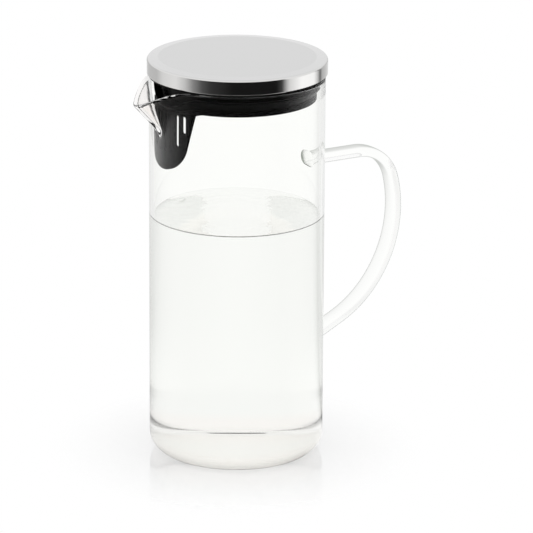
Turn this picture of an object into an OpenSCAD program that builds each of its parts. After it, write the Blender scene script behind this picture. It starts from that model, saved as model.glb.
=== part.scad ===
// Glass pitcher with a pulled pouring spout, a welded strap handle and a
// lift-off lid: steel cap, plastic plug, flexible lip seal and slotted strainer.
// The origin is the centre of the base, the spout points along -X, the handle along +X.

/* [Glass body] */
// Outside diameter of the glass cylinder
body_d = 100; // [90:1:112]
// Height of the glass rim above the table
body_h = 222.4; // [206:0.2:250]
// Thickness of the glass wall
wall = 2.5; // [2:0.1:3]
// Thickness of the glass base
base_t = 2.6; // [2:0.1:5]
// Outside radius where the wall turns into the base
corner_r = 10; // [7:0.5:14]
// Inside radius where the wall turns into the base
inner_corner_r = 7.5; // [5:0.5:11]

/* [Spout] */
// How far the spout's tip stands out from the wall
spout_reach = 16.8; // [12:0.2:20]
// Height of the spout's keel, from the wall up to the tip
spout_rise = 18.6; // [15:0.2:24]
// How far the pouring edge dips below the rim at the tip
spout_dip = 9.2; // [5:0.2:12]
// Half of the opening angle between the two flanks, seen from above
flank_angle = 35.3; // [32:0.1:42]
// Angle from the spout's middle over which the rim dips
dip_angle = 24; // [18:1:28]
// Thickness of the pulled glass in the spout
spout_wall = 2; // [1.6:0.1:2.4]

/* [Handle] */
// Height of the handle's upper root
handle_top_z = 166.6; // [152:0.2:176]
// Width of the glass strap, across the loop
strap_w = 12.4; // [10:0.2:16]
// Thickness of the glass strap
strap_t = 6.2; // [5:0.2:8]
// Length of the straight upper arm, from the glass wall
arm_len = 29.3; // [25:0.1:34]
// Radius of the bend at the top
bend_r = 23.8; // [20:0.2:28]
// Radius of the long curve of the grip
grip_r = 72.4; // [64:0.2:80]
// Radius of the curve down to the lower root
tail_r = 66.4; // [58:0.2:74]
// How much wider the melted roots are than the strap
root_flare = 5; // [2:0.2:6]
// Length over which each root flares
root_len = 5; // [3:0.5:8]

/* [Steel cap] */
// How far the pressed steel cap stands out past the glass
cap_overhang = 1.2; // [0.8:0.1:2.5]
// Height of the cap
cap_h = 9; // [8:0.2:14]
// Thickness of the steel
cap_t = 0.8; // [0.6:0.1:1.2]
// Radius of the cap's top edge
cap_edge_r = 1.2; // [0.9:0.1:2]
// Width of the soft border around the cap's flat top
cap_border_w = 6; // [4:0.5:9]
// How far the border slopes down to the edge
cap_border_drop = 0.4; // [0.2:0.1:0.8]
// How far the cap's hem stays above the glass rim
cap_lift = 1.6; // [1:0.1:3]

/* [Plug] */
// Space between the glass and the plug's neck, which carries the seal
neck_gap = 6.5; // [5:0.1:9]
// Wall of the hollow plug
plug_wall = 2; // [1.5:0.1:3]
// Thickness of the plug's floor
floor_t = 2; // [1.5:0.1:3]
// Depth of the recess under the plug's floor
floor_recess = 6; // [4:0.5:8]

/* [Seal] */
// How far the lip's edge sits below the glass rim
lip_drop = 3.9; // [3:0.1:6]
// Height of the seal, from its bead up to the lip's edge
seal_h = 8.2; // [7:0.1:10]
// Height of the bead at the seal's foot
bead_h = 2.8; // [2:0.1:4]
// Space between the bead and the glass
bead_gap = 2.5; // [1.5:0.1:3.5]
// How far the waist draws in between bead and lip
waist_inset = 0.9; // [0.2:0.1:1.6]
// Thickness of the lip
lip_t = 1.3; // [1:0.1:1.8]
// How far the lip dips under the spout
notch_depth = 6.7; // [4:0.1:7]
// Angle from the spout's middle where the lip is back at full height
notch_angle = 32; // [26:1:40]
// Angle from the spout's middle over which the lip stays at its lowest
notch_flat_angle = 8; // [4:1:14]

/* [Strainer] */
// Length of the strainer panel below the seal
panel_len = 36.2; // [28:0.2:44]
// Thickness of the panel
panel_t = 1.3; // [1:0.1:1.8]
// Width of the panel at its top
panel_w = 47; // [40:0.5:50]
// Radius of the panel's round lower end
panel_end_r = 18.8; // [15:0.1:20]
// Thickness of the shelf that carries the panel
shelf_t = 1.4; // [1:0.1:2]
// Number of slots
slot_count = 8; // [4:1:10]
// Width of a slot
slot_w = 2.6; // [1.6:0.1:3]
// Angle from slot to slot around the axis
slot_pitch_angle = 6.25; // [5:0.05:7]
// Solid height above the slots
slot_top_gap = 0.9; // [0.6:0.1:3]
// Solid height below the longest slots
slot_foot_gap = 10.4; // [6:0.1:14]
// Height of the ring that clips into the plug
clip_h = 5; // [3:0.5:6]
// Wall of the clip ring
clip_t = 1.6; // [1.2:0.1:2.4]

/* [Fits] */
// Space between the lid and the glass
lid_clearance = 0.3; // [0.2:0.05:0.5]
// Space between the cap and the plug
cap_clearance = 0.3; // [0.2:0.05:0.5]
// Space between pieces that are pushed together
push_clearance = 0.05; // [0.02:0.01:0.1]

/* [Hidden] */
$fn = 128;

// Overrun of every cut
over = 1;

// Glass
body_r = body_d / 2;
bore_r = body_r - wall;
lip_r = wall / 2;

// Spout
keel_slope = spout_reach / spout_rise;
keel_foot_z = body_h - spout_dip - spout_rise;
keel_inset = spout_wall * sqrt(1 + pow(keel_slope * sin(flank_angle), 2)) / sin(flank_angle);
nose_angle = 3;
spout_half_angle = dip_angle + 9;
spout_foot = spout_rise / 3;
spout_blend = wall * 0.64;
spout_sink = spout_blend / 4;
rim_sink = lip_r / 5;
crown_lift = lip_r / 10;
spout_side_steps = 14;
spout_rows = 10;
lip_steps = 4;
lip_last_angle = 70;

// Handle
root_steps = 6;
section_steps = 28;

// Lid heights
cap_foot_z = body_h + cap_lift;
cap_top_z = cap_foot_z + cap_h;
flange_z = body_h + lid_clearance;
lip_z = body_h - lip_drop;
seal_z = lip_z - seal_h;
cap_r = body_r + cap_overhang;
cap_edge_z = cap_h - cap_border_drop;
plug_r = cap_r - cap_t - cap_clearance;
plug_top_z = cap_top_z - cap_border_drop - cap_t - cap_clearance;
neck_r = bore_r - neck_gap;
neck_bore_r = neck_r - plug_wall;
plug_foot_z = seal_z + push_clearance;
floor_z = plug_foot_z + floor_recess;

// Seal
seal_bore_r = neck_r + push_clearance;
lip_edge_r = bore_r - lid_clearance;
bead_r = bore_r - bead_gap;
bead_chamfer = bead_h / 5;
waist_r = bead_r - waist_inset;
notch_steps = 28;
plain_steps = 84;

// Strainer
shelf_z = seal_z - push_clearance - shelf_t;
panel_r = lip_edge_r - panel_t / 3;
panel_foot_z = shelf_z - panel_len + shelf_t;
clip_r = neck_bore_r - push_clearance;
slot_arc_r = panel_end_r * 0.957;
shelf_w = panel_w - 2 * shelf_t;

// Spout outline: radius of the flank's plan line at an angle from the middle,
// for a keel at radius keel, with the nose rounded off
function soft_angle(a) = sqrt(a * a + nose_angle * nose_angle) - nose_angle;
function flank_r(a, keel) = keel * sin(flank_angle) / sin(flank_angle + soft_angle(a));
function keel_r(z, inset) = body_r + spout_sink + keel_slope * (z - keel_foot_z) - inset;

// Blend of the flank into a cylinder of radius r, ending just under its surface
function blend(e) = (e + sqrt(e * e + spout_blend * spout_blend)) / 2 - spout_sink;
function spout_r(a, z, r, inset) = r + blend(flank_r(a, keel_r(z, inset)) - r);
function outer_r(a, z) = spout_r(a, z, body_r, 0);
function inner_r(a, z) = spout_r(a, z, bore_r, keel_inset);

// Height of the pouring edge at an angle from the spout's middle
function dip_share(a) = pow(max(0, 1 - soft_angle(a) / dip_angle), 1.9);
function edge_z(a) = body_h - spout_dip * dip_share(a);
function edge_half(a) = (outer_r(a, edge_z(a)) - inner_r(a, edge_z(a))) / 2;

// How far the outer face's rounding sinks below the rim where the spout runs out
function crown_sink(a) = rim_sink * max(0, 1 - (outer_r(a, edge_z(a)) - body_r) / wall);

// Angles of the stations, closer together near the nose
function station_angle(i) =
    let (t = i / spout_side_steps)
    spout_half_angle * sign(t) * (0.55 * abs(t) + 0.45 * t * t);
spout_angles = [for (i = [-spout_side_steps : spout_side_steps]) station_angle(i)];

// One upright row of points at an angle: side 1 is the outer face and side -1 the
// inner one, and both round over to the middle of the pouring edge, the inner a little higher
function upright(a, side, foot, top) =
    let (
        crown = edge_z(a) - lip_r + (side > 0 ? -crown_sink(a) : crown_lift),
        half = edge_half(a),
        low = [for (j = [0 : spout_rows]) foot + (crown - foot) * j / spout_rows],
        turns = [for (k = [1 : lip_steps]) lip_last_angle * k / lip_steps]
    )
    concat(
        [for (z = low) [side > 0 ? outer_r(a, z) : inner_r(a, z), z]],
        [for (t = turns)
            let (z = crown + lip_r * sin(t), ease = half * (1 - cos(t)))
            [side > 0 ? outer_r(a, z) - ease : inner_r(a, z) + ease, z]],
        side > 0 ? [] : [[inner_r(a, crown + lip_r * sin(lip_last_angle)) + half * (1 - cos(lip_last_angle)), top]]
    );

// Closed ring of points at an angle: the shaped face, then a straight back
function spout_ring(a, side, foot, back_r, top) =
    let (
        face = upright(a, side, foot, top),
        heights = [for (p = face) p[1]],
        n = len(face)
    )
    concat(face, [[back_r, heights[n - 1]], [back_r, foot]]);

// Points of a ring in the upright plane at an angle around the axis
function turned(ring, a) = [for (p = ring) [p[0] * cos(a), p[0] * sin(a), p[1]]];

// Skin over equal rings of points: with flat ends spread from each ring's last point
// but one, or closed on itself round the axis
module loft(rings, closed = false) {
    n = len(rings[0]);
    m = len(rings);
    count = n * m;
    sides = [for (i = [0 : m - (closed ? 1 : 2)]) for (j = [0 : n - 1])
        let (k = (j + 1) % n, a = i * n + j, b = i * n + k, c = (a + n) % count, d = (b + n) % count)
        each [[a, b, c], [b, d, c]]];
    ends = closed ? [] : [
        [for (j = [2 : n + 1]) (2 * n - j) % n],
        [for (j = [0 : n - 1]) (m - 1) * n + (j + n - 2) % n]
    ];
    polyhedron([for (ring = rings) each ring], concat(sides, ends), convexity = 6);
}

// Solid behind one face of the spout
module spout_solid(side, foot, back_r, top) {
    rotate([0, 0, 180])
        loft([for (a = spout_angles) turned(spout_ring(a, side, foot, back_r, top), a)]);
}

// Profile of the glass cylinder, with its base, round corners and round rim
module glass_profile() {
    difference() {
        union() {
            translate([0, corner_r])
                square([body_r, body_h - lip_r - corner_r]);
            square([body_r - corner_r, corner_r]);
            translate([body_r - corner_r, corner_r])
                intersection() {
                    circle(corner_r);
                    translate([0, -corner_r])
                        square(corner_r);
                }
        }
        translate([-over, base_t + inner_corner_r])
            square([bore_r + over, body_h]);
        translate([-over, base_t])
            square([bore_r - inner_corner_r + over, inner_corner_r + over]);
        translate([bore_r - inner_corner_r, base_t + inner_corner_r])
            circle(inner_corner_r);
    }
    translate([body_r - lip_r, body_h - lip_r])
        circle(lip_r);
}

module glass_body() {
    color([0.86, 0.93, 0.91, 0.4])
        difference() {
            union() {
                rotate_extrude()
                    glass_profile();
                spout_solid(1, keel_foot_z - spout_foot, bore_r + wall / 5, body_h);
            }
            spout_solid(-1, keel_foot_z - spout_foot + over, bore_r - 2 * wall, body_h + over);
        }
}

// Course of the strap: a straight arm, three curves that meet in line and a straight tail
bend_turn = 75.5;
grip_turn = 50.5;
tail_turn = 27.5;
grip_heading = -bend_turn;
tail_heading = grip_heading - grip_turn;
foot_heading = tail_heading - tail_turn;
function ahead(h) = [cos(h), sin(h)];
function right_of(h) = [sin(h), -cos(h)];
arm_end = [body_r + arm_len, handle_top_z];
bend_centre = arm_end + bend_r * right_of(0);
grip_centre = bend_centre + (grip_r - bend_r) * right_of(grip_heading);
tail_centre = grip_centre + (tail_r - grip_r) * right_of(tail_heading);
tail_end = tail_centre - tail_r * right_of(foot_heading);
foot_len = (body_r - tail_end[0]) / cos(foot_heading);

// Stations along the strap, each a point, a heading and the distance from the nearest wall
function along(from, heading, start, end, steps, gap) =
    [for (i = [0 : steps])
        let (d = start + (end - start) * i / steps)
        [from + d * ahead(heading), heading, gap < 0 ? d : gap - d]];
function around(centre, r, start, turn, step) =
    [for (i = [1 : turn / step]) [centre - r * right_of(start - i * step), start - i * step, root_len]];
strap_stations = concat(
    along([body_r, handle_top_z], 0, -wall, root_len, root_steps, -1),
    [[arm_end, 0, root_len]],
    around(bend_centre, bend_r, 0, bend_turn, 5),
    around(grip_centre, grip_r, grip_heading, grip_turn, 3),
    around(tail_centre, tail_r, tail_heading, tail_turn, 5),
    along(tail_end, foot_heading, foot_len - root_len, foot_len + wall, root_steps, foot_len)
);

// Growth of the section at a distance from the wall: full at the wall, none after the root
function root_growth(d) =
    let (t = min(1, max(0, 1 - d / root_len)))
    root_flare * t * t;

// Flat oval section, its width across the loop and its rounded edges to the sides
function strap_section(grow) =
    let (r = (strap_t + grow) / 2, half = (strap_w - strap_t) / 2)
    [for (i = [0 : section_steps - 1])
        let (a = 360 * (i + 0.5) / section_steps)
        [r * cos(a), r * sin(a) + half * sign(sin(a))]];
function strap_ring(station) =
    let (up = -right_of(station[1]))
    [for (p = strap_section(root_growth(station[2])))
        [station[0][0] + p[0] * up[0], p[1], station[0][1] + p[0] * up[1]]];

module glass_handle() {
    color([0.86, 0.93, 0.91, 0.4])
        difference() {
            loft([for (station = strap_stations) strap_ring(station)]);
            cylinder(h = body_h, r = body_r);
        }
}

// Half outline of the cap: a flat top with a border that slopes down to the edge
module cap_outline(edge_z, top_z, reach) {
    polygon([
        [-reach, 0],
        [cap_r - cap_edge_r, 0],
        [cap_r - cap_edge_r, edge_z],
        [cap_r - cap_border_w, top_z],
        [-reach, top_z]
    ]);
}

// Pressed cap: flat top, sloping border, small outside radius and a round hem
module lid_cap() {
    color([0.8, 0.8, 0.79])
        rotate_extrude()
            translate([0, cap_foot_z]) {
                difference() {
                    union() {
                        translate([0, cap_t / 2])
                            square([cap_r, cap_edge_z - cap_edge_r - cap_t / 2]);
                        cap_outline(cap_edge_z, cap_h, 0);
                        translate([cap_r - cap_edge_r, cap_edge_z - cap_edge_r])
                            circle(cap_edge_r);
                    }
                    cap_outline(cap_edge_z - cap_t, cap_h - cap_t, over);
                    translate([-over, -over])
                        square([cap_r - cap_t + over, cap_edge_z - cap_t + over]);
                }
                translate([cap_r - cap_t / 2, cap_t / 2])
                    circle(cap_t / 2);
            }
}

// Plug: a shell that fills the cap, with a flange over the rim, a neck and a recessed floor
module lid_plug() {
    color([0.07, 0.07, 0.07])
        rotate_extrude() {
            difference() {
                union() {
                    translate([0, flange_z])
                        square([plug_r, plug_top_z - flange_z]);
                    translate([0, plug_foot_z])
                        square([neck_r, flange_z - plug_foot_z + over]);
                }
                translate([-over, flange_z + plug_wall])
                    square([plug_r - plug_wall + over, plug_top_z - flange_z]);
                translate([-over, floor_z + floor_t])
                    square([neck_bore_r + over, body_h]);
                translate([-over, plug_foot_z - over])
                    square([neck_bore_r + over, floor_recess + over]);
            }
        }
}

// Seal section in the plain part, from the inside of the foot round to the lip
plain_section = [
    [seal_bore_r, seal_z],
    [bead_r - bead_chamfer, seal_z],
    [bead_r, seal_z + bead_chamfer],
    [bead_r, seal_z + bead_h - bead_chamfer],
    [waist_r, seal_z + bead_h],
    [lip_edge_r, lip_z - lip_t / 2],
    [lip_edge_r, lip_z],
    [lip_edge_r - lip_t, lip_z],
    [waist_r - lip_t, seal_z + bead_h + lip_t],
    [seal_bore_r, seal_z + bead_h + lip_t]
];

// Seal section at the spout, where the lip reaches out level to the wall
spout_lip_z = lip_z - notch_depth;
foot_shares = [0.25, 0.5, 0.75];
spout_section = concat(
    [[seal_bore_r, seal_z], [bead_r - bead_chamfer, seal_z]],
    [for (s = foot_shares) [bead_r + (lip_edge_r - bead_r) * s, seal_z]],
    [
        [lip_edge_r, spout_lip_z - lip_t / 2],
        [lip_edge_r, spout_lip_z],
        [lip_edge_r - lip_t, spout_lip_z],
        [waist_r - lip_t, spout_lip_z + lip_t / 2],
        [seal_bore_r, seal_z + bead_h + lip_t]
    ]
);

// Share of the full dip at an angle from the spout's middle
function notch_share(a) =
    let (
        off = min(a, 360 - a),
        t = min(1, max(0, (abs(off) - notch_flat_angle) / (notch_angle - notch_flat_angle)))
    )
    1 - t * t * (3 - 2 * t);
function seal_section(a) = plain_section + (spout_section - plain_section) * notch_share(a);

// Angles of the sections: close together in the dip, wider apart around the rest
seal_angles = concat(
    [for (i = [0 : notch_steps]) notch_angle * (2 * i / notch_steps - 1)],
    [for (i = [1 : plain_steps - 1]) notch_angle + (360 - 2 * notch_angle) * i / plain_steps]
);

module lid_seal() {
    color([0.1, 0.095, 0.09])
        rotate([0, 0, 180])
            loft([for (a = seal_angles) turned(seal_section(a), a)], closed = true);
}

// Outline of the strainer panel, seen square on: level top, tapering sides, round end
panel_centre_z = panel_foot_z + panel_end_r;
panel_top = [panel_w / 2, shelf_z + shelf_t];
panel_side = panel_top - [0, panel_centre_z];
side_angle = acos(panel_end_r / norm(panel_side)) - atan2(panel_side[1], panel_side[0]);
panel_touch = [panel_end_r * cos(side_angle), panel_centre_z - panel_end_r * sin(side_angle)];
module panel_outline() {
    translate([0, panel_centre_z])
        circle(panel_end_r);
    polygon([
        [-panel_top[0], panel_top[1]],
        [-panel_touch[0], panel_touch[1]],
        [panel_touch[0], panel_touch[1]],
        [panel_top[0], panel_top[1]]
    ]);
}

// Side of the lid that faces the spout, as wide as the shelf
module spout_side(height) {
    translate([-body_r, -shelf_w / 2, 0])
        cube([body_r, shelf_w, height]);
}

module slot_cut(a) {
    y = panel_r * sin(a);
    foot = panel_foot_z + slot_foot_gap + slot_arc_r - sqrt(pow(slot_arc_r, 2) - pow(min(abs(y), slot_arc_r), 2));
    top = shelf_z - slot_top_gap;
    length = max(top - foot, slot_w);
    rotate([0, 0, 180 + a])
        translate([neck_r, 0, top - length / 2])
            rotate([90, 0, 90])
                linear_extrude(body_r - neck_r) {
                    square([slot_w, length - slot_w], center = true);
                    for (s = [-1, 1])
                        translate([0, s * (length - slot_w) / 2])
                            circle(d = slot_w);
                }
}

module strainer() {
    color([0.17, 0.17, 0.17])
        difference() {
            union() {
                // Curved panel
                intersection() {
                    rotate_extrude()
                        translate([panel_r - panel_t, panel_foot_z])
                            square([panel_t, panel_len]);
                    rotate([90, 0, -90])
                        linear_extrude(body_r)
                            panel_outline();
                }
                // Shelf from the clip ring out to the panel
                intersection() {
                    rotate_extrude()
                        translate([clip_r - clip_t, shelf_z])
                            square([panel_r - clip_r + clip_t, shelf_t]);
                    translate([0, 0, shelf_z])
                        spout_side(shelf_t);
                }
                // Ring that clips into the plug
                rotate_extrude()
                    translate([clip_r - clip_t, shelf_z])
                        square([clip_t, clip_h]);
            }
            for (i = [0 : slot_count - 1])
                slot_cut((i - (slot_count - 1) / 2) * slot_pitch_angle);
        }
}

glass_body();
glass_handle();
lid_cap();
lid_plug();
lid_seal();
strainer();
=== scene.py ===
import bpy
import numpy as np
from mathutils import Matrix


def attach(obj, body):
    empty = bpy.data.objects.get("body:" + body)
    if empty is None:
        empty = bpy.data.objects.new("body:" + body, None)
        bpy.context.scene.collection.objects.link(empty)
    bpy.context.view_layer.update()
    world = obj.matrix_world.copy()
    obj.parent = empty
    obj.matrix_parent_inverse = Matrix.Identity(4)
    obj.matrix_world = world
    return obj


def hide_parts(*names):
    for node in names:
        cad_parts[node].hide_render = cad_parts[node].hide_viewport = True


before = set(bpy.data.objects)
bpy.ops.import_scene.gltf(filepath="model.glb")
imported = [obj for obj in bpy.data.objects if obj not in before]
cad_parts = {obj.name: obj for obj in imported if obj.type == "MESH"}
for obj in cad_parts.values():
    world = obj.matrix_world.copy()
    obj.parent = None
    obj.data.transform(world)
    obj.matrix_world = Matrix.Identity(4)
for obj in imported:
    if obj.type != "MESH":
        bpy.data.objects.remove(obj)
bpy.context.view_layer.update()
mm = 0.001


# Smooth step: 3 t^2 - 2 t^3, with t held between 0 and 1
def smoothStep(t):
    t = np.clip(t, 0, 1)
    return t * t * (3 - 2 * t)


# Points round the jug's axis: r cos(angle), r sin(angle) and z, spread over one grid
def aroundAxis(r, angle, z):
    return np.stack(np.broadcast_arrays(r * np.cos(angle), r * np.sin(angle), z), -1)


# Grid of rings (rows, columns, xyz) in mm as one mesh: four-sided faces between neighbours, closed
# around its columns. The last ring joins the first in a loop; otherwise a fan from the middle of the
# first and of the last ring closes each end.
def ringMesh(name, rings, material, loop=False):
    rows, cols = rings.shape[:2]
    points = rings.reshape(-1, 3)
    i, j = np.meshgrid(np.arange(rows if loop else rows - 1), np.arange(cols), indexing="ij")
    this, above = i * cols, (i + 1) % rows * cols
    beside = (j + 1) % cols
    quads = np.stack([this + j, this + beside, above + beside, above + j], -1).reshape(-1, 4)
    fans = []
    if not loop:
        points = np.vstack([points, rings[0].mean(0), rings[-1].mean(0)])
        a = np.arange(cols)
        b = (a + 1) % cols
        first, last = rows * cols, rows * cols + 1
        fans = [np.stack([b, a, np.full(cols, first)], -1),
                np.stack([(rows - 1) * cols + a, (rows - 1) * cols + b, np.full(cols, last)], -1)]
    corners = np.concatenate([quads.ravel()] + [f.ravel() for f in fans])
    sizes = np.concatenate([np.full(len(quads), 4)] + [np.full(len(f), 3) for f in fans])
    mesh = bpy.data.meshes.new(name)
    mesh.vertices.add(len(points))
    mesh.vertices.foreach_set("co", (points * mm).astype(np.float32).ravel())
    mesh.loops.add(len(corners))
    mesh.loops.foreach_set("vertex_index", corners.astype(np.int32))
    mesh.polygons.add(len(sizes))
    starts = np.concatenate([[0], np.cumsum(sizes)[:-1]])
    mesh.polygons.foreach_set("loop_start", starts.astype(np.int32))
    mesh.polygons.foreach_set("use_smooth", np.ones(len(sizes), bool))
    mesh.update(calc_edges=True)
    mesh.validate()
    mesh.materials.append(material)
    piece = bpy.data.objects.new(name, mesh)
    bpy.context.scene.collection.objects.link(piece)
    return piece


# Camera: fitted to the photo from the lid, rim, base, water line and handle
camera = {"azimuth": -30.0, "elevation": 17.763, "distance": 2400.0, "focal": 4190.0,
          "side": 17.11, "height": 108.70, "roll": 0.343, "frame": 533.0, "sensor": 36.0,
          "clip": (0.1, 50.0)}
az, el = np.radians(camera["azimuth"]), np.radians(camera["elevation"])
backward = np.array([np.sin(az) * np.cos(el), -np.cos(az) * np.cos(el), np.sin(el)])
nearward = np.array([np.sin(az), -np.cos(az), 0.0])
rightward = np.array([np.cos(az), np.sin(az), 0.0])
upward = np.cross(backward, rightward)
roll = np.radians(camera["roll"])
camRight = np.cos(roll) * rightward + np.sin(roll) * upward
camUp = np.cos(roll) * upward - np.sin(roll) * rightward
target = rightward * camera["side"] + np.array([0, 0, camera["height"]])
lens = bpy.data.cameras.new("photoCamera")
lens.sensor_width = camera["sensor"]
lens.lens = camera["sensor"] * camera["focal"] / camera["frame"]
lens.clip_start, lens.clip_end = camera["clip"]
eye = bpy.data.objects.new("photoCamera", lens)
eye.location = (target + backward * camera["distance"]) * mm
# angles of the rotation Rz Ry Rx whose columns are right, up and backward
eye.rotation_euler = (np.arctan2(camUp[2], backward[2]), -np.arcsin(camRight[2]),
                      np.arctan2(camRight[1], camRight[0]))
bpy.context.scene.collection.objects.link(eye)
bpy.context.scene.camera = eye
bpy.context.scene.view_settings.view_transform = "Standard"
print("camera done")


# Shader node with its settings; an input goes by its name, or by its number after an underscore
def addNode(tree, kind, settings=(), **inputs):
    node = tree.nodes.new(kind)
    for key, value in dict(settings).items():
        setattr(node, key, value)
    for key, value in inputs.items():
        label = key.replace("_", " ") if key[0].isupper() else int(key[1:])
        if isinstance(value, bpy.types.NodeSocket):
            tree.links.new(value, node.inputs[label])
        else:
            node.inputs[label].default_value = value
    return node


# Result of one Math node, or of one Vector Math node
def mathNode(tree, operation, *values, clamp=False):
    inputs = {f"_{n}": value for n, value in enumerate(values)}
    settings = {"operation": operation, "use_clamp": clamp}
    return addNode(tree, "ShaderNodeMath", settings, **inputs).outputs[0]


def vectorNode(tree, operation, output, *values):
    inputs = {f"_{n}": value for n, value in enumerate(values)}
    return addNode(tree, "ShaderNodeVectorMath", {"operation": operation}, **inputs).outputs[output]


# Value that goes from start to end, in a straight line, while another goes from low to high
def mapRange(tree, value, low, high, start=0.0, end=1.0, kind="LINEAR"):
    return addNode(tree, "ShaderNodeMapRange", {"interpolation_type": kind}, Value=value,
                   _1=low, _2=high, _3=start, _4=end).outputs[0]


# The same along a smooth step
def smoothRange(tree, value, low, high, start=0.0, end=1.0):
    return mapRange(tree, value, low, high, start, end, "SMOOTHSTEP")


# Colour between two others by a share
def mixColours(tree, share, first, second, blend="MIX"):
    return addNode(tree, "ShaderNodeMix", {"data_type": "RGBA", "blend_type": blend}, _0=share,
                   _6=first, _7=second).outputs[2]


# Colour with full alpha, and the grey of one tone
def opaque(colour):
    return (*colour, 1)


def grey(tone):
    return (tone, tone, tone, 1)


# Empty material, its node tree and its Object coordinates
def newMaterial(name):
    material = bpy.data.materials.new(name)
    material.use_nodes = True
    tree = material.node_tree
    tree.nodes.clear()
    return material, tree, addNode(tree, "ShaderNodeTexCoord").outputs["Object"]


# Shader group with named sockets; kinds are Float, Color or Vector
def newGroup(name, inputs, outputs):
    tree = bpy.data.node_groups.new(name, "ShaderNodeTree")
    for label, kind in inputs.items():
        tree.interface.new_socket(label, in_out="INPUT", socket_type="NodeSocket" + kind)
    for label, kind in outputs.items():
        tree.interface.new_socket(label, in_out="OUTPUT", socket_type="NodeSocket" + kind)
    return tree, tree.nodes.new("NodeGroupInput").outputs, tree.nodes.new("NodeGroupOutput").inputs


# Outputs of a group placed in a tree
def useGroup(tree, group, **inputs):
    return addNode(tree, "ShaderNodeGroup", {"node_tree": group}, **inputs).outputs


# Distance from the jug's axis, the square root of x squared plus y squared, and height of a point
def axisGroup():
    outputs = {"Distance": "Float", "Height": "Float"}
    tree, given, out = newGroup("fromAxis", {"Vector": "Vector"}, outputs)
    place = addNode(tree, "ShaderNodeSeparateXYZ", _0=given["Vector"]).outputs
    flat = addNode(tree, "ShaderNodeCombineXYZ", X=place["X"], Y=place["Y"]).outputs[0]
    tree.links.new(vectorNode(tree, "LENGTH", "Value", flat), out["Distance"])
    tree.links.new(place["Z"], out["Height"])
    return tree


fromAxis = axisGroup()

# Mask of the jug's thick glass: its foot below a height, and all that stands out beyond the wall
# (in metres, as Object coordinates are)
thickGlass = {"footFull": 0.006, "footTop": 0.012, "wallOut": 0.0505, "allOut": 0.052}


def thickGroup():
    tree, given, out = newGroup("thickGlass", {"Vector": "Vector"}, {"Mask": "Float"})
    place = useGroup(tree, fromAxis, Vector=given["Vector"])
    foot = mapRange(tree, place["Height"], thickGlass["footFull"], thickGlass["footTop"], 1.0, 0.0)
    outer = mapRange(tree, place["Distance"], thickGlass["wallOut"], thickGlass["allOut"])
    tree.links.new(mathNode(tree, "MAXIMUM", foot, outer), out["Mask"])
    return tree


# Mask of the water's brim, where the painted dark water line goes: the narrow ring of its side that
# climbs the wall
def brimGroup():
    inputs = {"Vector": "Vector", "Height": "Float", "Radius": "Float"}
    tree, given, out = newGroup("waterBrimShade", inputs, {"Mask": "Float"})
    place = useGroup(tree, fromAxis, Vector=given["Vector"])
    high = mathNode(tree, "GREATER_THAN", place["Height"], given["Height"])
    outer = mathNode(tree, "GREATER_THAN", place["Distance"], given["Radius"])
    tree.links.new(mathNode(tree, "MULTIPLY", high, outer), out["Mask"])
    return tree


# Soft waves of drawn glass or still water: a normal bumped by noise
softWave = {"detail": 1.0, "strength": 0.02}


def wavesGroup():
    inputs = {"Vector": "Vector", "Scale": "Float", "Distance": "Float"}
    tree, given, out = newGroup("softWaves", inputs, {"Normal": "Vector"})
    noise = addNode(tree, "ShaderNodeTexNoise", Vector=given["Vector"], Scale=given["Scale"],
                    Detail=softWave["detail"])
    bump = addNode(tree, "ShaderNodeBump", Height=noise.outputs[0], Strength=softWave["strength"],
                   Distance=given["Distance"])
    tree.links.new(bump.outputs[0], out["Normal"])
    return tree


# Fine grain of moulded plastic: a bumped normal, and a roughness that follows the grain
fineGrain = {"detail": 2.0, "strength": 0.3, "roughness": (0.9, 1.15)}


def grainGroup():
    inputs = {"Vector": "Vector", "Scale": "Float", "Depth": "Float", "Roughness": "Float"}
    tree, given, out = newGroup("mouldGrain", inputs, {"Normal": "Vector", "Roughness": "Float"})
    grain = addNode(tree, "ShaderNodeTexNoise", Vector=given["Vector"], Scale=given["Scale"],
                    Detail=fineGrain["detail"]).outputs[0]
    bump = addNode(tree, "ShaderNodeBump", Height=grain, Strength=fineGrain["strength"],
                   Distance=given["Depth"])
    share = mapRange(tree, grain, 0.0, 1.0, *fineGrain["roughness"])
    tree.links.new(bump.outputs[0], out["Normal"])
    tree.links.new(mathNode(tree, "MULTIPLY", share, given["Roughness"]), out["Roughness"])
    return tree


thickMask = thickGroup()
brimShadeMask = brimGroup()
softWaves = wavesGroup()
mouldGrain = grainGroup()

# Mask of rays that have bounced often inside the glass: they go straight on, so that edges don't
# turn black
deepPath = {"glossy": 1.5, "transmission": 9.5, "tint": 0.98}


def deepRays(tree):
    path = addNode(tree, "ShaderNodeLightPath").outputs
    glossy = mathNode(tree, "GREATER_THAN", path["Glossy Depth"], deepPath["glossy"])
    through = mathNode(tree, "GREATER_THAN", path["Transmission Depth"], deepPath["transmission"])
    return mathNode(tree, "MAXIMUM", glossy, through)


# Share of edge-on view: the smooth step of Layer Weight's Facing between two values
def grazing(tree, low, high):
    facing = addNode(tree, "ShaderNodeLayerWeight", Blend=0.5).outputs["Facing"]
    return smoothRange(tree, facing, low, high)
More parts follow.
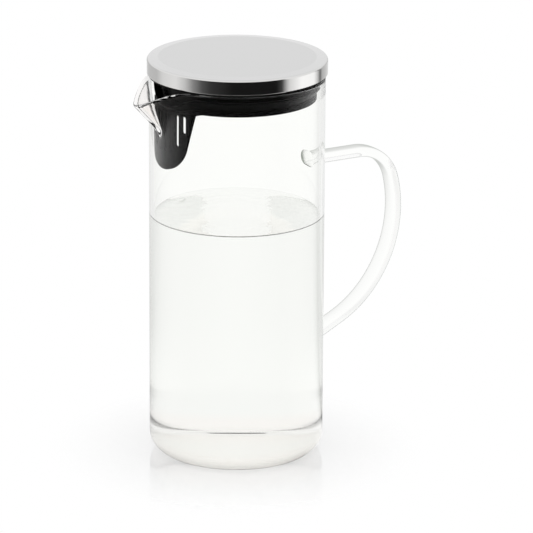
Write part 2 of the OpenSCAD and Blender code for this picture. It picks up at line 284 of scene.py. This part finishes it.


# Clear glass or water, with its waves, a painted shade on its edges and a straight way out for deep
# rays
def clearShader(tree, coords, look, colour, edge, waveDepth):
    waves = useGroup(tree, softWaves, Vector=coords, Scale=look["waveScale"], Distance=waveDepth)
    # the base colour turns to a dark painted shade where the edge mask is set
    clear = addNode(tree, "ShaderNodeBsdfPrincipled", Roughness=0.0, Metallic=0.0, IOR=look["index"],
                    Transmission_Weight=1.0, Specular_Tint=grey(look["reflection"]),
                    Base_Color=mixColours(tree, edge, colour, opaque(look["edgeShadeColour"])),
                    Normal=waves["Normal"])
    straight = addNode(tree, "ShaderNodeBsdfTransparent", Color=grey(deepPath["tint"]))
    mix = addNode(tree, "ShaderNodeMixShader", _0=deepRays(tree), _1=clear.outputs[0],
                  _2=straight.outputs[0])
    addNode(tree, "ShaderNodeOutputMaterial", Surface=mix.outputs[0])


# Glass of the body: thick glass has its own tint, and where it's seen edge on it turns darker: partly
# its tint over the long path, partly a painted shade for its dark outline
bodyGlass = {"colour": (0.992, 0.996, 0.984), "thickColour": (0.996, 0.977, 0.96),
             "edgeShadeColour": (0.12, 0.15, 0.11), "edgeShadeOn": (0.72, 1.0), "index": 1.47, "reflection": 0.14,
             "waveScale": 22.0, "waveDepth": 0.002}


def bodyGlassMaterial():
    material, tree, coords = newMaterial("clearGlass")
    thick = useGroup(tree, thickMask, Vector=coords)["Mask"]
    # painted shade: thick glass seen edge on turns to the dark edge colour
    edge = mathNode(tree, "MULTIPLY", grazing(tree, *bodyGlass["edgeShadeOn"]), thick)
    colour = mixColours(tree, thick, opaque(bodyGlass["colour"]), opaque(bodyGlass["thickColour"]))
    clearShader(tree, coords, bodyGlass, colour, edge, bodyGlass["waveDepth"])
    return material


# Glass of the handle: a low index keeps the lines inside it thin, and where its edges are seen edge on
# they darken softly: a painted shade, partly its tint over the long path
strapGlass = {"colour": (0.99, 0.994, 0.982), "edgeShadeColour": (0.08, 0.1, 0.075), "edgeShadeOn": (0.42, 0.97),
              "index": 1.19, "reflection": 0.3, "waveScale": 22.0, "waveDepth": 0.002}


def strapGlassMaterial():
    material, tree, coords = newMaterial("handleGlass")
    clearShader(tree, coords, strapGlass, opaque(strapGlass["colour"]),
                grazing(tree, *strapGlass["edgeShadeOn"]), strapGlass["waveDepth"])
    return material


# Water: the front faces of its brim take a dark tint, a painted shade that draws the dark water line
# where the curved brim bends light away.
# Its waves are almost none on its side, and grow towards the wall on its surface (heights and radii
# in metres, as Object coordinates are)
waterLook = {"colour": (0.972, 0.975, 0.97), "edgeShadeColour": (0.1, 0.1, 0.095), "index": 1.333,
             "reflection": 0.6, "brimFrom": 0.14125, "brimRadius": 0.047742, "surface": 0.1401,
             "calm": 0.022, "rippled": 0.043, "still": 0.0001, "ripple": 1.6, "waveScale": 80.0}


def waterMaterial():
    material, tree, coords = newMaterial("water")
    brim = useGroup(tree, brimShadeMask, Vector=coords, Height=waterLook["brimFrom"],
                    Radius=waterLook["brimRadius"])["Mask"]
    backfacing = addNode(tree, "ShaderNodeNewGeometry").outputs["Backfacing"]
    # painted shade: the brim's front faces turn to the dark edge colour, the dark water line
    edge = mathNode(tree, "MULTIPLY", brim, mathNode(tree, "SUBTRACT", 1.0, backfacing))
    place = useGroup(tree, fromAxis, Vector=coords)
    top = mathNode(tree, "GREATER_THAN", place["Height"], waterLook["surface"])
    outer = mapRange(tree, place["Distance"], waterLook["calm"], waterLook["rippled"])
    waveDepth = mathNode(tree, "MULTIPLY_ADD", mathNode(tree, "MULTIPLY", top, outer),
                         waterLook["ripple"], waterLook["still"])
    clearShader(tree, coords, waterLook, opaque(waterLook["colour"]), edge, waveDepth)
    return material


# Steel of the cap: a satin grain drawn out round it, one tone for the band and a darker one for the
# top, where the normal points up, as painted shade, and a painted highlight on a border of the top from
# a radius outwards (in metres)
steelLook = {"grainScale": (60, 60, 4000), "grainDetail": 3.0, "roughness": (0.06, 0.14),
             "band": (0.75, 0.745, 0.735), "top": (0.63, 0.63, 0.63), "border": (0.68, 0.68, 0.68),
             "borderAt": (0.0443, 0.0453), "shadedTopAt": (0.5, 0.95)}


def steelMaterial():
    material, tree, coords = newMaterial("satinSteel")
    drawn = addNode(tree, "ShaderNodeMapping", Vector=coords, Scale=steelLook["grainScale"])
    grain = addNode(tree, "ShaderNodeTexNoise", Vector=drawn.outputs[0], Scale=1.0,
                    Detail=steelLook["grainDetail"])
    rough = mapRange(tree, grain.outputs[0], 0.0, 1.0, *steelLook["roughness"])
    normal = addNode(tree, "ShaderNodeNewGeometry").outputs["Normal"]
    # Painted shade and highlight: where the normal points up the steel turns to the darker top tone,
    # lightened towards its rim by a painted highlight
    flat = smoothRange(tree, addNode(tree, "ShaderNodeSeparateXYZ", _0=normal).outputs["Z"],
                       *steelLook["shadedTopAt"])
    border = mapRange(tree, useGroup(tree, fromAxis, Vector=coords)["Distance"], *steelLook["borderAt"])
    top = mixColours(tree, border, opaque(steelLook["top"]), opaque(steelLook["border"]))
    steel = addNode(tree, "ShaderNodeBsdfPrincipled", Metallic=1.0, Roughness=rough,
                    Base_Color=mixColours(tree, flat, opaque(steelLook["band"]), top))
    addNode(tree, "ShaderNodeOutputMaterial", Surface=steel.outputs[0])
    return material


# Moulded plastic and silicone: plain dark colours under a fine grain, whose sizes are in mm
plugLook = {"colour": (0.003, 0.003, 0.003), "roughness": 0.4, "specular": 0.05,
            "grainSize": 0.3, "grainDepth": 0.02}
sealLook = {"colour": (0.0012, 0.0012, 0.0015), "roughness": 0.35, "specular": 0.035,
            "grainSize": 0.5, "grainDepth": 0.01}
strainerLook = {"colour": (0.001, 0.001, 0.001), "roughness": 0.4, "specular": 0.02,
                "grainSize": 0.3, "grainDepth": 0.02}


def plasticMaterial(name, look):
    material, tree, coords = newMaterial(name)
    grain = useGroup(tree, mouldGrain, Vector=coords, Scale=1 / (look["grainSize"] * mm),
                     Depth=look["grainDepth"] * mm, Roughness=look["roughness"])
    plastic = addNode(tree, "ShaderNodeBsdfPrincipled", Base_Color=opaque(look["colour"]),
                      Specular_IOR_Level=look["specular"], Normal=grain["Normal"],
                      Roughness=grain["Roughness"])
    addNode(tree, "ShaderNodeOutputMaterial", Surface=plastic.outputs[0])
    return material


clearGlass = bodyGlassMaterial()
handleGlass = strapGlassMaterial()
clearWater = waterMaterial()
satinSteel = steelMaterial()
plugPlastic = plasticMaterial("plugPlastic", plugLook)
sealSilicone = plasticMaterial("sealSilicone", sealLook)
strainerPlastic = plasticMaterial("strainerPlastic", strainerLook)
solidLooks = {"lid_cap": satinSteel, "lid_plug": plugPlastic, "strainer": strainerPlastic}
for node, material in solidLooks.items():
    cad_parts[node].data.materials.clear()
    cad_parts[node].data.materials.append(material)
print("materials done")

# Glass body: a cylinder whose wall runs out into the pulled spout (mm and degrees)
body = {"radius": 50.0, "rim": 222.4, "wall": 2.5, "base": 2.6, "corner": 10.0, "innerCorner": 7.5,
        "reach": 16.8, "rise": 18.6, "dip": 9.2, "dipAngle": 24.0, "dipCurve": 1.9, "flank": 35.3,
        "spoutWall": 2.0, "nose": 3.0, "blend": 1.5, "softBlend": 3.5, "softFrom": 4.0, "softTo": 18.0,
        "fadeFrom": 34.0, "fadeTo": 52.0, "stretchFrom": 172.0,
        "fineAngle": 46.0, "fineSides": 90, "fineShares": (0.45, 0.55), "plainSides": 190,
        "plainTo": 0.62, "plainRings": 26, "fineRings": 52, "rimRings": 19, "cornerRings": 11,
        "floorRings": 14, "pole": 0.02}


# Angle from the keel with its crease rounded off: the square root of a^2 + n^2, less n
def fromKeel(angle):
    return np.sqrt(angle ** 2 + body["nose"] ** 2) - body["nose"]


# The flank is a straight line in plan from the keel to the wall; the blend is the hyperbola
# (e + sqrt(e^2 + b^2)) / 2 of its distance e beyond the wall, faded out beyond the flank
def spoutRadius(angle, z, radius, inset):
    slope = body["reach"] / body["rise"]
    keelFoot = body["rim"] - body["dip"] - body["rise"]
    keel = body["radius"] + slope * (z - keelFoot) - inset
    flank = np.radians(body["flank"])
    line = keel * np.sin(flank) / np.sin(np.minimum(flank + np.radians(fromKeel(angle)), np.pi / 2))
    e = line - radius
    softness = smoothStep((np.abs(angle) - body["softFrom"]) / (body["softTo"] - body["softFrom"]))
    blend = body["blend"] + (body["softBlend"] - body["blend"]) * softness
    lift = (e + np.sqrt(e ** 2 + blend ** 2)) / 2
    fade = 1 - smoothStep((np.abs(angle) - body["fadeFrom"]) / (body["fadeTo"] - body["fadeFrom"]))
    return radius + lift * fade


# Height of the rim: it dips towards the keel by a power of the share of its angle
def edgeHeight(angle):
    share = np.maximum(0, 1 - fromKeel(angle) / body["dipAngle"])
    return body["rim"] - body["dip"] * share ** body["dipCurve"]


# Heights of a wall's rings: shares of the way from its foot to the rim; above stretchFrom they move
# down by a growing share of the rim's dip
def wallHeights(foot, crown):
    share = np.concatenate([np.linspace(0, body["plainTo"], body["plainRings"])[:-1],
                            np.linspace(body["plainTo"], 1, body["fineRings"])])[:, None]
    top = body["rim"] - body["wall"] / 2
    plain = foot + (top - foot) * share
    up = np.clip((plain - body["stretchFrom"]) / (top - body["stretchFrom"]), 0, 1)
    return plain - (top - crown) * up


# Rings from the middle of the underside over the outer wall and the rim to the middle of the floor
# inside: both corners are quarter circles, and the rim is half an ellipse from wall to wall. The
# inner keel is set in so far that the spout's flanks are spoutWall thick, square to their slope.
def bodyRings(angles):
    a = angles[None, :]
    flat = np.ones_like(a)
    radius, inner = body["radius"], body["radius"] - body["wall"]
    corner, innerCorner = body["corner"], body["innerCorner"]
    flank = np.radians(body["flank"])
    inset = body["spoutWall"] * np.sqrt(1 + (body["reach"] / body["rise"] * np.sin(flank)) ** 2)
    inset = inset / np.sin(flank)
    half = body["wall"] / 2
    crown = edgeHeight(a) - half
    outerZ = wallHeights(corner, crown)
    outerR = spoutRadius(a, outerZ, radius, 0)
    innerZ = wallHeights(body["base"] + innerCorner, crown)
    innerR = spoutRadius(a, innerZ, inner, inset)
    over = np.radians(np.linspace(0, 180, body["rimRings"])[1:-1])[:, None]
    rimZ = crown + half * np.sin(over)
    outerEdge = spoutRadius(a, rimZ, radius, 0)
    innerEdge = spoutRadius(a, rimZ, inner, inset)
    rimR = (outerEdge + innerEdge) / 2 + (outerEdge - innerEdge) / 2 * np.cos(over)
    bend = np.radians(np.linspace(-90, 0, body["cornerRings"])[:-1])[:, None]
    footR = (radius - corner) + corner * np.cos(bend) * flat
    footZ = corner + corner * np.sin(bend) * flat
    back = np.radians(np.linspace(0, -90, body["cornerRings"])[1:])[:, None]
    inR = inner - innerCorner + innerCorner * np.cos(back) * flat
    inZ = body["base"] + innerCorner + innerCorner * np.sin(back) * flat
    out = np.linspace(body["pole"], 1, body["floorRings"])[:-1, None]
    underR = out * (radius - corner) * flat
    floorR = np.linspace(1, body["pole"], body["floorRings"])[1:, None] * (inner - innerCorner) * flat
    r = np.vstack([underR, footR, outerR, rimR, innerR[::-1], inR, floorR])
    z = np.vstack([underR * 0, footZ, outerZ, rimZ, innerZ[::-1], inZ, floorR * 0 + body["base"]])
    return aroundAxis(r, np.radians(180 + a), z)


# Angles from the keel, closer together on the spout
def bodyAngles():
    side = np.linspace(0, 1, body["fineSides"])
    near = body["fineAngle"] * (body["fineShares"][0] * side + body["fineShares"][1] * side ** 2)
    far = np.linspace(body["fineAngle"], 360 - body["fineAngle"], body["plainSides"])[1:-1]
    angles = np.concatenate([-near[::-1], near[1:], far])
    return np.where(angles > 180, angles - 360, angles)


glassBody = ringMesh("glassBody", bodyRings(bodyAngles()), clearGlass)
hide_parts("glass_body")
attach(glassBody, "glass")
print("glass body done")

# Handle: one flat oval section swept along the strap's course; each arc is a radius and the
# degrees that it turns
handle = {"top": 166.6, "width": 12.4, "thick": 6.2, "crown": 3.2, "arm": 29.3, "bend": (23.8, 75.5),
          "grip": (72.3, 50.5), "tail": (66.4, 27.5), "flare": 3.2, "flareLength": 6.0,
          "flareCurve": 2.6, "inWall": 49.0, "sides": 64, "armRings": 14, "ringTurn": 1.6,
          "tailRings": 8, "rootRings": 22}


# Heading h as a step of cos(h) outwards and sin(h) up, and the step across it, to its right
def headingOf(h):
    return np.array([np.cos(h), np.sin(h)])


def rightOf(h):
    return np.stack([np.sin(h), -np.cos(h)], -1)


# Course in the plane y = 0: straight arm, three arcs, each turning right, and a straight tail
def handleCourse():
    h = 0.0
    p = np.array([body["radius"] + handle["flareLength"], handle["top"]])
    length = handle["arm"] - handle["flareLength"]
    share = np.linspace(0, 1, handle["armRings"])[:-1, None]
    points = [p + share * length * headingOf(h)]
    headings = [np.full(len(share), h)]
    p = p + length * headingOf(h)
    for radius, turned in (handle["bend"], handle["grip"], handle["tail"]):
        centre = p + radius * rightOf(h)
        now = h - np.radians(turned) * np.linspace(0, 1, int(turned / handle["ringTurn"]) + 1)
        arc = centre - radius * rightOf(now)
        points.append(arc[:-1])
        headings.append(now[:-1])
        h, p = now[-1], arc[-1]
    length = (body["radius"] - p[0]) / np.cos(h) - handle["flareLength"]
    share = np.linspace(0, 1, handle["tailRings"])[:, None]
    points.append(p + share * length * headingOf(h))
    headings.append(np.full(len(share), h))
    return np.concatenate(points), np.concatenate(headings)


# Rings of the section at points of the course, each thicker by grow: a circle of the strap's
# thickness, pulled out sideways by the hyperbolic tangent of its sine, which crowns the faces
def sectionRings(points, headings, grow):
    t = np.radians((np.arange(handle["sides"]) + 0.5) * 360 / handle["sides"])
    r = (handle["thick"] + grow) / 2
    flat = (handle["width"] - handle["thick"]) / 2
    crown = handle["crown"]
    across = r * np.sin(t) + flat * np.tanh(crown * np.sin(t)) / np.tanh(crown)
    inPlane = -r * np.cos(t)
    right = rightOf(headings)
    x = points[:, :1] + inPlane * right[:, :1]
    z = points[:, 1:] + inPlane * right[:, 1:]
    return np.stack(np.broadcast_arrays(x, across, z), -1)


# Root: the rings widen by a power of their progress, and move on along the heading u until each
# point of the last one is inWall from the jug's axis, which is a quadratic in its reach
def rootRings(point, heading, inward):
    place, turned = point[None, :], np.array([heading])
    u = np.array([headingOf(heading)[0], 0, headingOf(heading)[1]]) * inward
    end = sectionRings(place, turned, handle["flare"])[0]
    qa = u[0] ** 2
    qb = end[:, 0] * u[0]
    qc = end[:, 0] ** 2 + end[:, 1] ** 2 - handle["inWall"] ** 2
    reach = (-qb - np.sqrt(np.maximum(qb ** 2 - qa * qc, 0))) / qa
    t = np.linspace(0, 1, handle["rootRings"])[1:, None]
    rings = sectionRings(place, turned, handle["flare"] * t ** handle["flareCurve"])
    return rings + (reach * t)[..., None] * u


coursePoints, courseHeadings = handleCourse()
handleRings = np.concatenate([rootRings(coursePoints[0], courseHeadings[0], -1)[::-1],
                              sectionRings(coursePoints, courseHeadings, 0),
                              rootRings(coursePoints[-1], courseHeadings[-1], 1)])
glassHandle = ringMesh("glassHandle", handleRings[:, ::-1], handleGlass)
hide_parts("glass_handle")
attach(glassHandle, "glass")
print("handle done")

# Water: contents of the jug, its side just inside the glass wall so that the ray bends once
water = {"level": 140.2, "overlap": 0.25, "meniscus": 1.6, "reach": 1.5, "sides": 256, "pole": 0.02,
         "floorRings": 12, "cornerRings": 12, "sideRings": 40, "edgeDown": (0.6, 0.2, 0.05, 0.012),
         "edgeIn": (0.012, 0.05, 0.12), "climb": (0.25, 7.0), "climbRings": 30, "middle": 0.5,
         "middleRings": 14}


# Rings from the middle of the floor up the side and over the surface back to the middle; the
# surface climbs the wall by the exponential of its distance from it
def waterRings():
    radius = body["radius"] - body["wall"] + water["overlap"]
    corner = body["innerCorner"]
    floorZ = body["base"] - water["overlap"]
    floorR = np.linspace(water["pole"], 1, water["floorRings"])[:-1, None] * (radius - corner)
    bend = np.radians(np.linspace(-90, 0, water["cornerRings"]))[:, None]
    cornerR = radius - corner + corner * np.cos(bend)
    cornerZ = floorZ + corner + corner * np.sin(bend)
    top = water["level"] + water["meniscus"]
    sideZ = np.concatenate([np.linspace(cornerZ[-1, 0], top, water["sideRings"])[1:-1],
                            top - np.array(water["edgeDown"])])[:, None]
    near, far = water["climb"]
    inward = np.concatenate([water["edgeIn"], np.linspace(near, far, water["climbRings"]),
                             np.linspace(far, radius - water["middle"], water["middleRings"])[1:]])
    surfaceR = radius - inward[:, None]
    fromWall = np.maximum(radius - water["overlap"] - surfaceR, 0)
    surfaceZ = water["level"] + water["meniscus"] * np.exp(-fromWall / water["reach"])
    r = np.vstack([floorR, cornerR, np.full_like(sideZ, radius), surfaceR])
    z = np.vstack([np.full_like(floorR, floorZ), cornerZ, sideZ, surfaceZ])
    angle = np.radians(np.linspace(0, 360, water["sides"] + 1)[:-1])[None, :]
    return aroundAxis(r, angle, z)


waterPiece = ringMesh("water", waterRings(), clearWater)
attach(waterPiece, "glass")
print("water done")

# Seal: section points joined smoothly, with the lip dipping under the spout
seal = {"bore": 41.05, "z": 209.8, "bead": 45.0, "beadHeight": 3.3, "chamfer": 0.56, "waist": 44.1,
        "lipEdge": 47.2, "lipZ": 218.5, "lip": 1.3, "dip": 6.7, "dipAngle": 32.0, "flatAngle": 8.0,
        "cuts": (0.12, 0.25, 0.25), "fineAngle": 34.0, "fineSides": 120, "plainSides": 160}


# Closed sections with their corners cut off: each side keeps its points at the share cut from
# either end
def cutCorners(sections, cut):
    ahead = np.roll(sections, -1, axis=1)
    pairs = np.stack([sections * (1 - cut) + ahead * cut, sections * cut + ahead * (1 - cut)], 2)
    return pairs.reshape(len(sections), -1, 2)


# Section at each angle from the spout: the plain one moves point by point to the dipped one, by
# the smooth step of the angle; in the dipped one, quarters of the span carry the bead out to the lip
def sealSections(angles):
    bore, bead, waist, lip = seal["bore"], seal["bead"], seal["waist"], seal["lip"]
    foot, chamfer, edge, high = seal["z"], seal["chamfer"], seal["lipEdge"], seal["lipZ"]
    top, low = foot + seal["beadHeight"], high - seal["dip"]
    span = edge - bead
    plain = np.array([[bore, foot], [bead - chamfer, foot], [bead, foot + chamfer],
                      [bead, top - chamfer], [waist, top], [edge, high - lip / 2], [edge, high],
                      [edge - lip, high], [waist - lip, top + lip], [bore, top + lip]])
    dipped = np.array([[bore, foot], [bead - chamfer, foot], [bead + span * 0.25, foot],
                       [bead + span * 0.5, foot], [bead + span * 0.75, foot], [edge, low - lip / 2],
                       [edge, low], [edge - lip, low], [waist - lip, low + lip / 2],
                       [bore, top + lip]])
    off = np.minimum(np.abs(angles), 360 - np.abs(angles))
    dip = 1 - smoothStep((off - seal["flatAngle"]) / (seal["dipAngle"] - seal["flatAngle"]))
    sections = plain + (dipped - plain) * dip[:, None, None]
    for cut in seal["cuts"]:
        sections = cutCorners(sections, cut)
    return sections


# Rings of the seal, closer together under the spout
def sealRings():
    near = np.linspace(-seal["fineAngle"], seal["fineAngle"], seal["fineSides"])
    far = np.linspace(seal["fineAngle"], 360 - seal["fineAngle"], seal["plainSides"])[1:-1]
    angles = np.concatenate([near, far])
    sections = sealSections(angles)
    return aroundAxis(sections[..., 0], np.radians(180 + angles)[:, None], sections[..., 1])


lidSeal = ringMesh("lidSeal", sealRings()[::-1], sealSilicone, loop=True)
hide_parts("lid_seal")
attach(lidSeal, "insert")
print("seal done")

# Ribs behind the middle of the strainer's panel, which close its middle slots to a view from the side
ribs = {"angles": (-6.25, 0.0, 6.25), "half": 1.45, "outer": 45.6, "inner": 44.35,
        "top": 208.7, "foot": 184.0, "arcPoints": 5, "rings": 24}


# Rings of one rib: an arc at the outer radius and one back at the inner radius, from foot to top
def ribRings(middle):
    across = np.linspace(-1, 1, ribs["arcPoints"])
    angle = np.radians(180 + middle + ribs["half"] * np.concatenate([across, across[::-1]]))
    r = np.repeat([ribs["outer"], ribs["inner"]], ribs["arcPoints"])
    return aroundAxis(r, angle, np.linspace(ribs["foot"], ribs["top"], ribs["rings"])[:, None])


for n, middle in enumerate(ribs["angles"]):
    rib = ringMesh(f"strainerRib{n + 1}", ribRings(middle), strainerPlastic)
    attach(rib, "insert")
print("ribs done")

# Studio brightness round the jug, by the angle from the camera's side (0) to the image's right (+90)
# and the far side (180): what metal and mirror-like glass show, and what is seen through glass
studio = {"size": 12.0, "nearFloor": (0.07, 0.2), "floorLift": 0.72,
          "overhead": (0.7, 0.8), "overheadShare": 0.12, "mirrorSky": (0.08, 0.22), "skyTone": 0.97,
          "mirror": [(-180, 0.97), (-176, 0.98), (-171.5, 1.1), (-163, 0.75), (-150, 0.62),
                     (-120, 0.62), (-106, 0.85), (-82, 0.95), (-68, 0.7), (-56, 0.3), (-44, 0.1),
                     (-32, 0.04), (-5, 0.01), (50, 0.01), (58, 0.06), (68, 0.85), (88, 1.25),
                     (112, 1.2), (121, 0.7), (128, 0.12), (134, 0.55), (165, 0.8), (172, 0.92),
                     (177, 0.96), (180, 0.97)],
          "through": [(-180, 1.01), (-160, 0.98), (-150, 0.96), (-137, 0.9), (-120, 0.95),
                      (-100, 0.93), (-78, 0.9), (-62, 0.75), (-48, 0.35), (-32, 0.1), (46, 0.08),
                      (60, 0.5), (72, 0.85), (95, 0.93), (120, 0.95), (137, 0.9), (150, 0.96),
                      (160, 0.98), (180, 1.01)]}


# Ramp of grey tones over the share (angle / 360 + 1/2) of the way round
def toneRamp(tree, share, steps):
    ramp = addNode(tree, "ShaderNodeValToRGB", _0=share)
    stops = ramp.color_ramp.elements
    for n, (degrees, tone) in enumerate(steps):
        stop = stops[n] if n < 2 else stops.new(1.0)  # a new ramp has two stops already
        stop.position = degrees / 360 + 0.5
        stop.color = grey(tone)
    return ramp.outputs[0]


# Colour of the studio in one direction, as a mirror ray or a ray through glass meets it, and a mask
# of mirror rays. Sharp rays through glass count as glossy too, so the mask leaves those out.
def studioGroup():
    inputs = {"Vector": "Vector", "Glossy": "Float", "Transmission": "Float", "Bounces": "Float"}
    tree, given, out = newGroup("studioTone", inputs, {"Color": "Color", "Mirror": "Float"})
    toRight = vectorNode(tree, "DOT_PRODUCT", "Value", given["Vector"], tuple(rightward))
    toCamera = vectorNode(tree, "DOT_PRODUCT", "Value", given["Vector"], tuple(nearward))
    angle = mathNode(tree, "ARCTAN2", toRight, toCamera)
    share = mathNode(tree, "MULTIPLY_ADD", angle, float(0.5 / np.pi), 0.5)
    deep = mathNode(tree, "GREATER_THAN", given["Bounces"], deepPath["glossy"])
    clearPath = mathNode(tree, "MAXIMUM", given["Transmission"], deep)
    mirror = mathNode(tree, "SUBTRACT", given["Glossy"], clearPath, clamp=True)
    unit = vectorNode(tree, "NORMALIZE", "Vector", given["Vector"])
    height = addNode(tree, "ShaderNodeSeparateXYZ", _0=unit).outputs["Z"]
    overhead = smoothRange(tree, height, *studio["overhead"], 1.0, studio["overheadShare"])
    through = mixColours(tree, mathNode(tree, "MULTIPLY", clearPath, overhead), grey(1),
                         toneRamp(tree, share, studio["through"]))
    reflected = mixColours(tree, smoothRange(tree, height, *studio["mirrorSky"]),
                           toneRamp(tree, share, studio["mirror"]), grey(studio["skyTone"]))
    tree.links.new(mixColours(tree, mirror, through, reflected), out["Color"])
    tree.links.new(mirror, out["Mirror"])
    return tree


studioTone = studioGroup()


# The studio's tone in a direction, with the kind of ray that asks, and Light Path itself
def studioFrom(tree, direction):
    path = addNode(tree, "ShaderNodeLightPath").outputs
    tone = useGroup(tree, studioTone, Vector=direction, Glossy=path["Is Glossy Ray"],
                    Transmission=path["Is Transmission Ray"], Bounces=path["Glossy Depth"])
    return tone, path


# Floor: a white sheet that keeps the jug's shadow; part of it is always white to the camera
floorLook = {"height": -0.0002, "colour": 1.0, "roughness": 0.12, "whiteShare": 0.55,
             "allWhite": (0.05, 0.11), "mirrorShare": 0.35, "mirrorFade": (0.05, 0.12),
             "mirrorRoughness": 0.04}


# Rays from glass and metal meet the studio's tone instead of the sheet: plain white near the jug,
# and except for mirror rays never darker than floorLift
def floorMaterial():
    material, tree, coords = newMaterial("floor")
    tone, path = studioFrom(tree, coords)
    away = vectorNode(tree, "LENGTH", "Value", coords)
    toned = mathNode(tree, "MAXIMUM", smoothRange(tree, away, *studio["nearFloor"]), tone["Mirror"])
    lifted = mixColours(tree, mathNode(tree, "SUBTRACT", 1.0, tone["Mirror"]), tone["Color"],
                        grey(studio["floorLift"]), "LIGHTEN")
    shine = addNode(tree, "ShaderNodeEmission", Color=mixColours(tree, toned, grey(1), lifted))
    seen = mathNode(tree, "MAXIMUM", path["Is Glossy Ray"], path["Is Transmission Ray"])
    white = smoothRange(tree, away, *floorLook["allWhite"], floorLook["whiteShare"])
    straight = mathNode(tree, "MULTIPLY", path["Is Camera Ray"], white)
    plain = addNode(tree, "ShaderNodeBsdfPrincipled", Base_Color=grey(floorLook["colour"]),
                    Roughness=floorLook["roughness"])
    sheet = addNode(tree, "ShaderNodeMixShader", _0=mathNode(tree, "MAXIMUM", seen, straight),
                    _1=plain.outputs[0], _2=shine.outputs[0])
    mirror = addNode(tree, "ShaderNodeBsdfPrincipled", Base_Color=grey(1), Metallic=1.0,
                     Roughness=floorLook["mirrorRoughness"])
    fade = smoothRange(tree, away, *floorLook["mirrorFade"], floorLook["mirrorShare"], 0.0)
    polished = mathNode(tree, "MULTIPLY", fade, path["Is Camera Ray"])
    look = addNode(tree, "ShaderNodeMixShader", _0=polished, _1=sheet.outputs[0], _2=mirror.outputs[0])
    addNode(tree, "ShaderNodeOutputMaterial", Surface=look.outputs[0])
    return material


half, low = studio["size"] / 2, floorLook["height"]
floorMesh = bpy.data.meshes.new("floor")
floorMesh.from_pydata([(-half, -half, low), (half, -half, low), (half, half, low), (-half, half, low)],
                      [], [(0, 1, 2, 3)])
floorMesh.materials.append(floorMaterial())
floor = bpy.data.objects.new("floor", floorMesh)
bpy.context.scene.collection.objects.link(floor)

# World: white background and studio light, dark behind the camera for reflections
world = bpy.data.worlds.new("studio")
bpy.context.scene.world = world
world.use_nodes = True
worldTree = world.node_tree
worldTree.nodes.clear()
direction = addNode(worldTree, "ShaderNodeTexCoord").outputs["Generated"]
worldTone = studioFrom(worldTree, direction)[0]
background = addNode(worldTree, "ShaderNodeBackground", Color=worldTone["Color"])
addNode(worldTree, "ShaderNodeOutputWorld", Surface=background.outputs[0])
print("stage done")
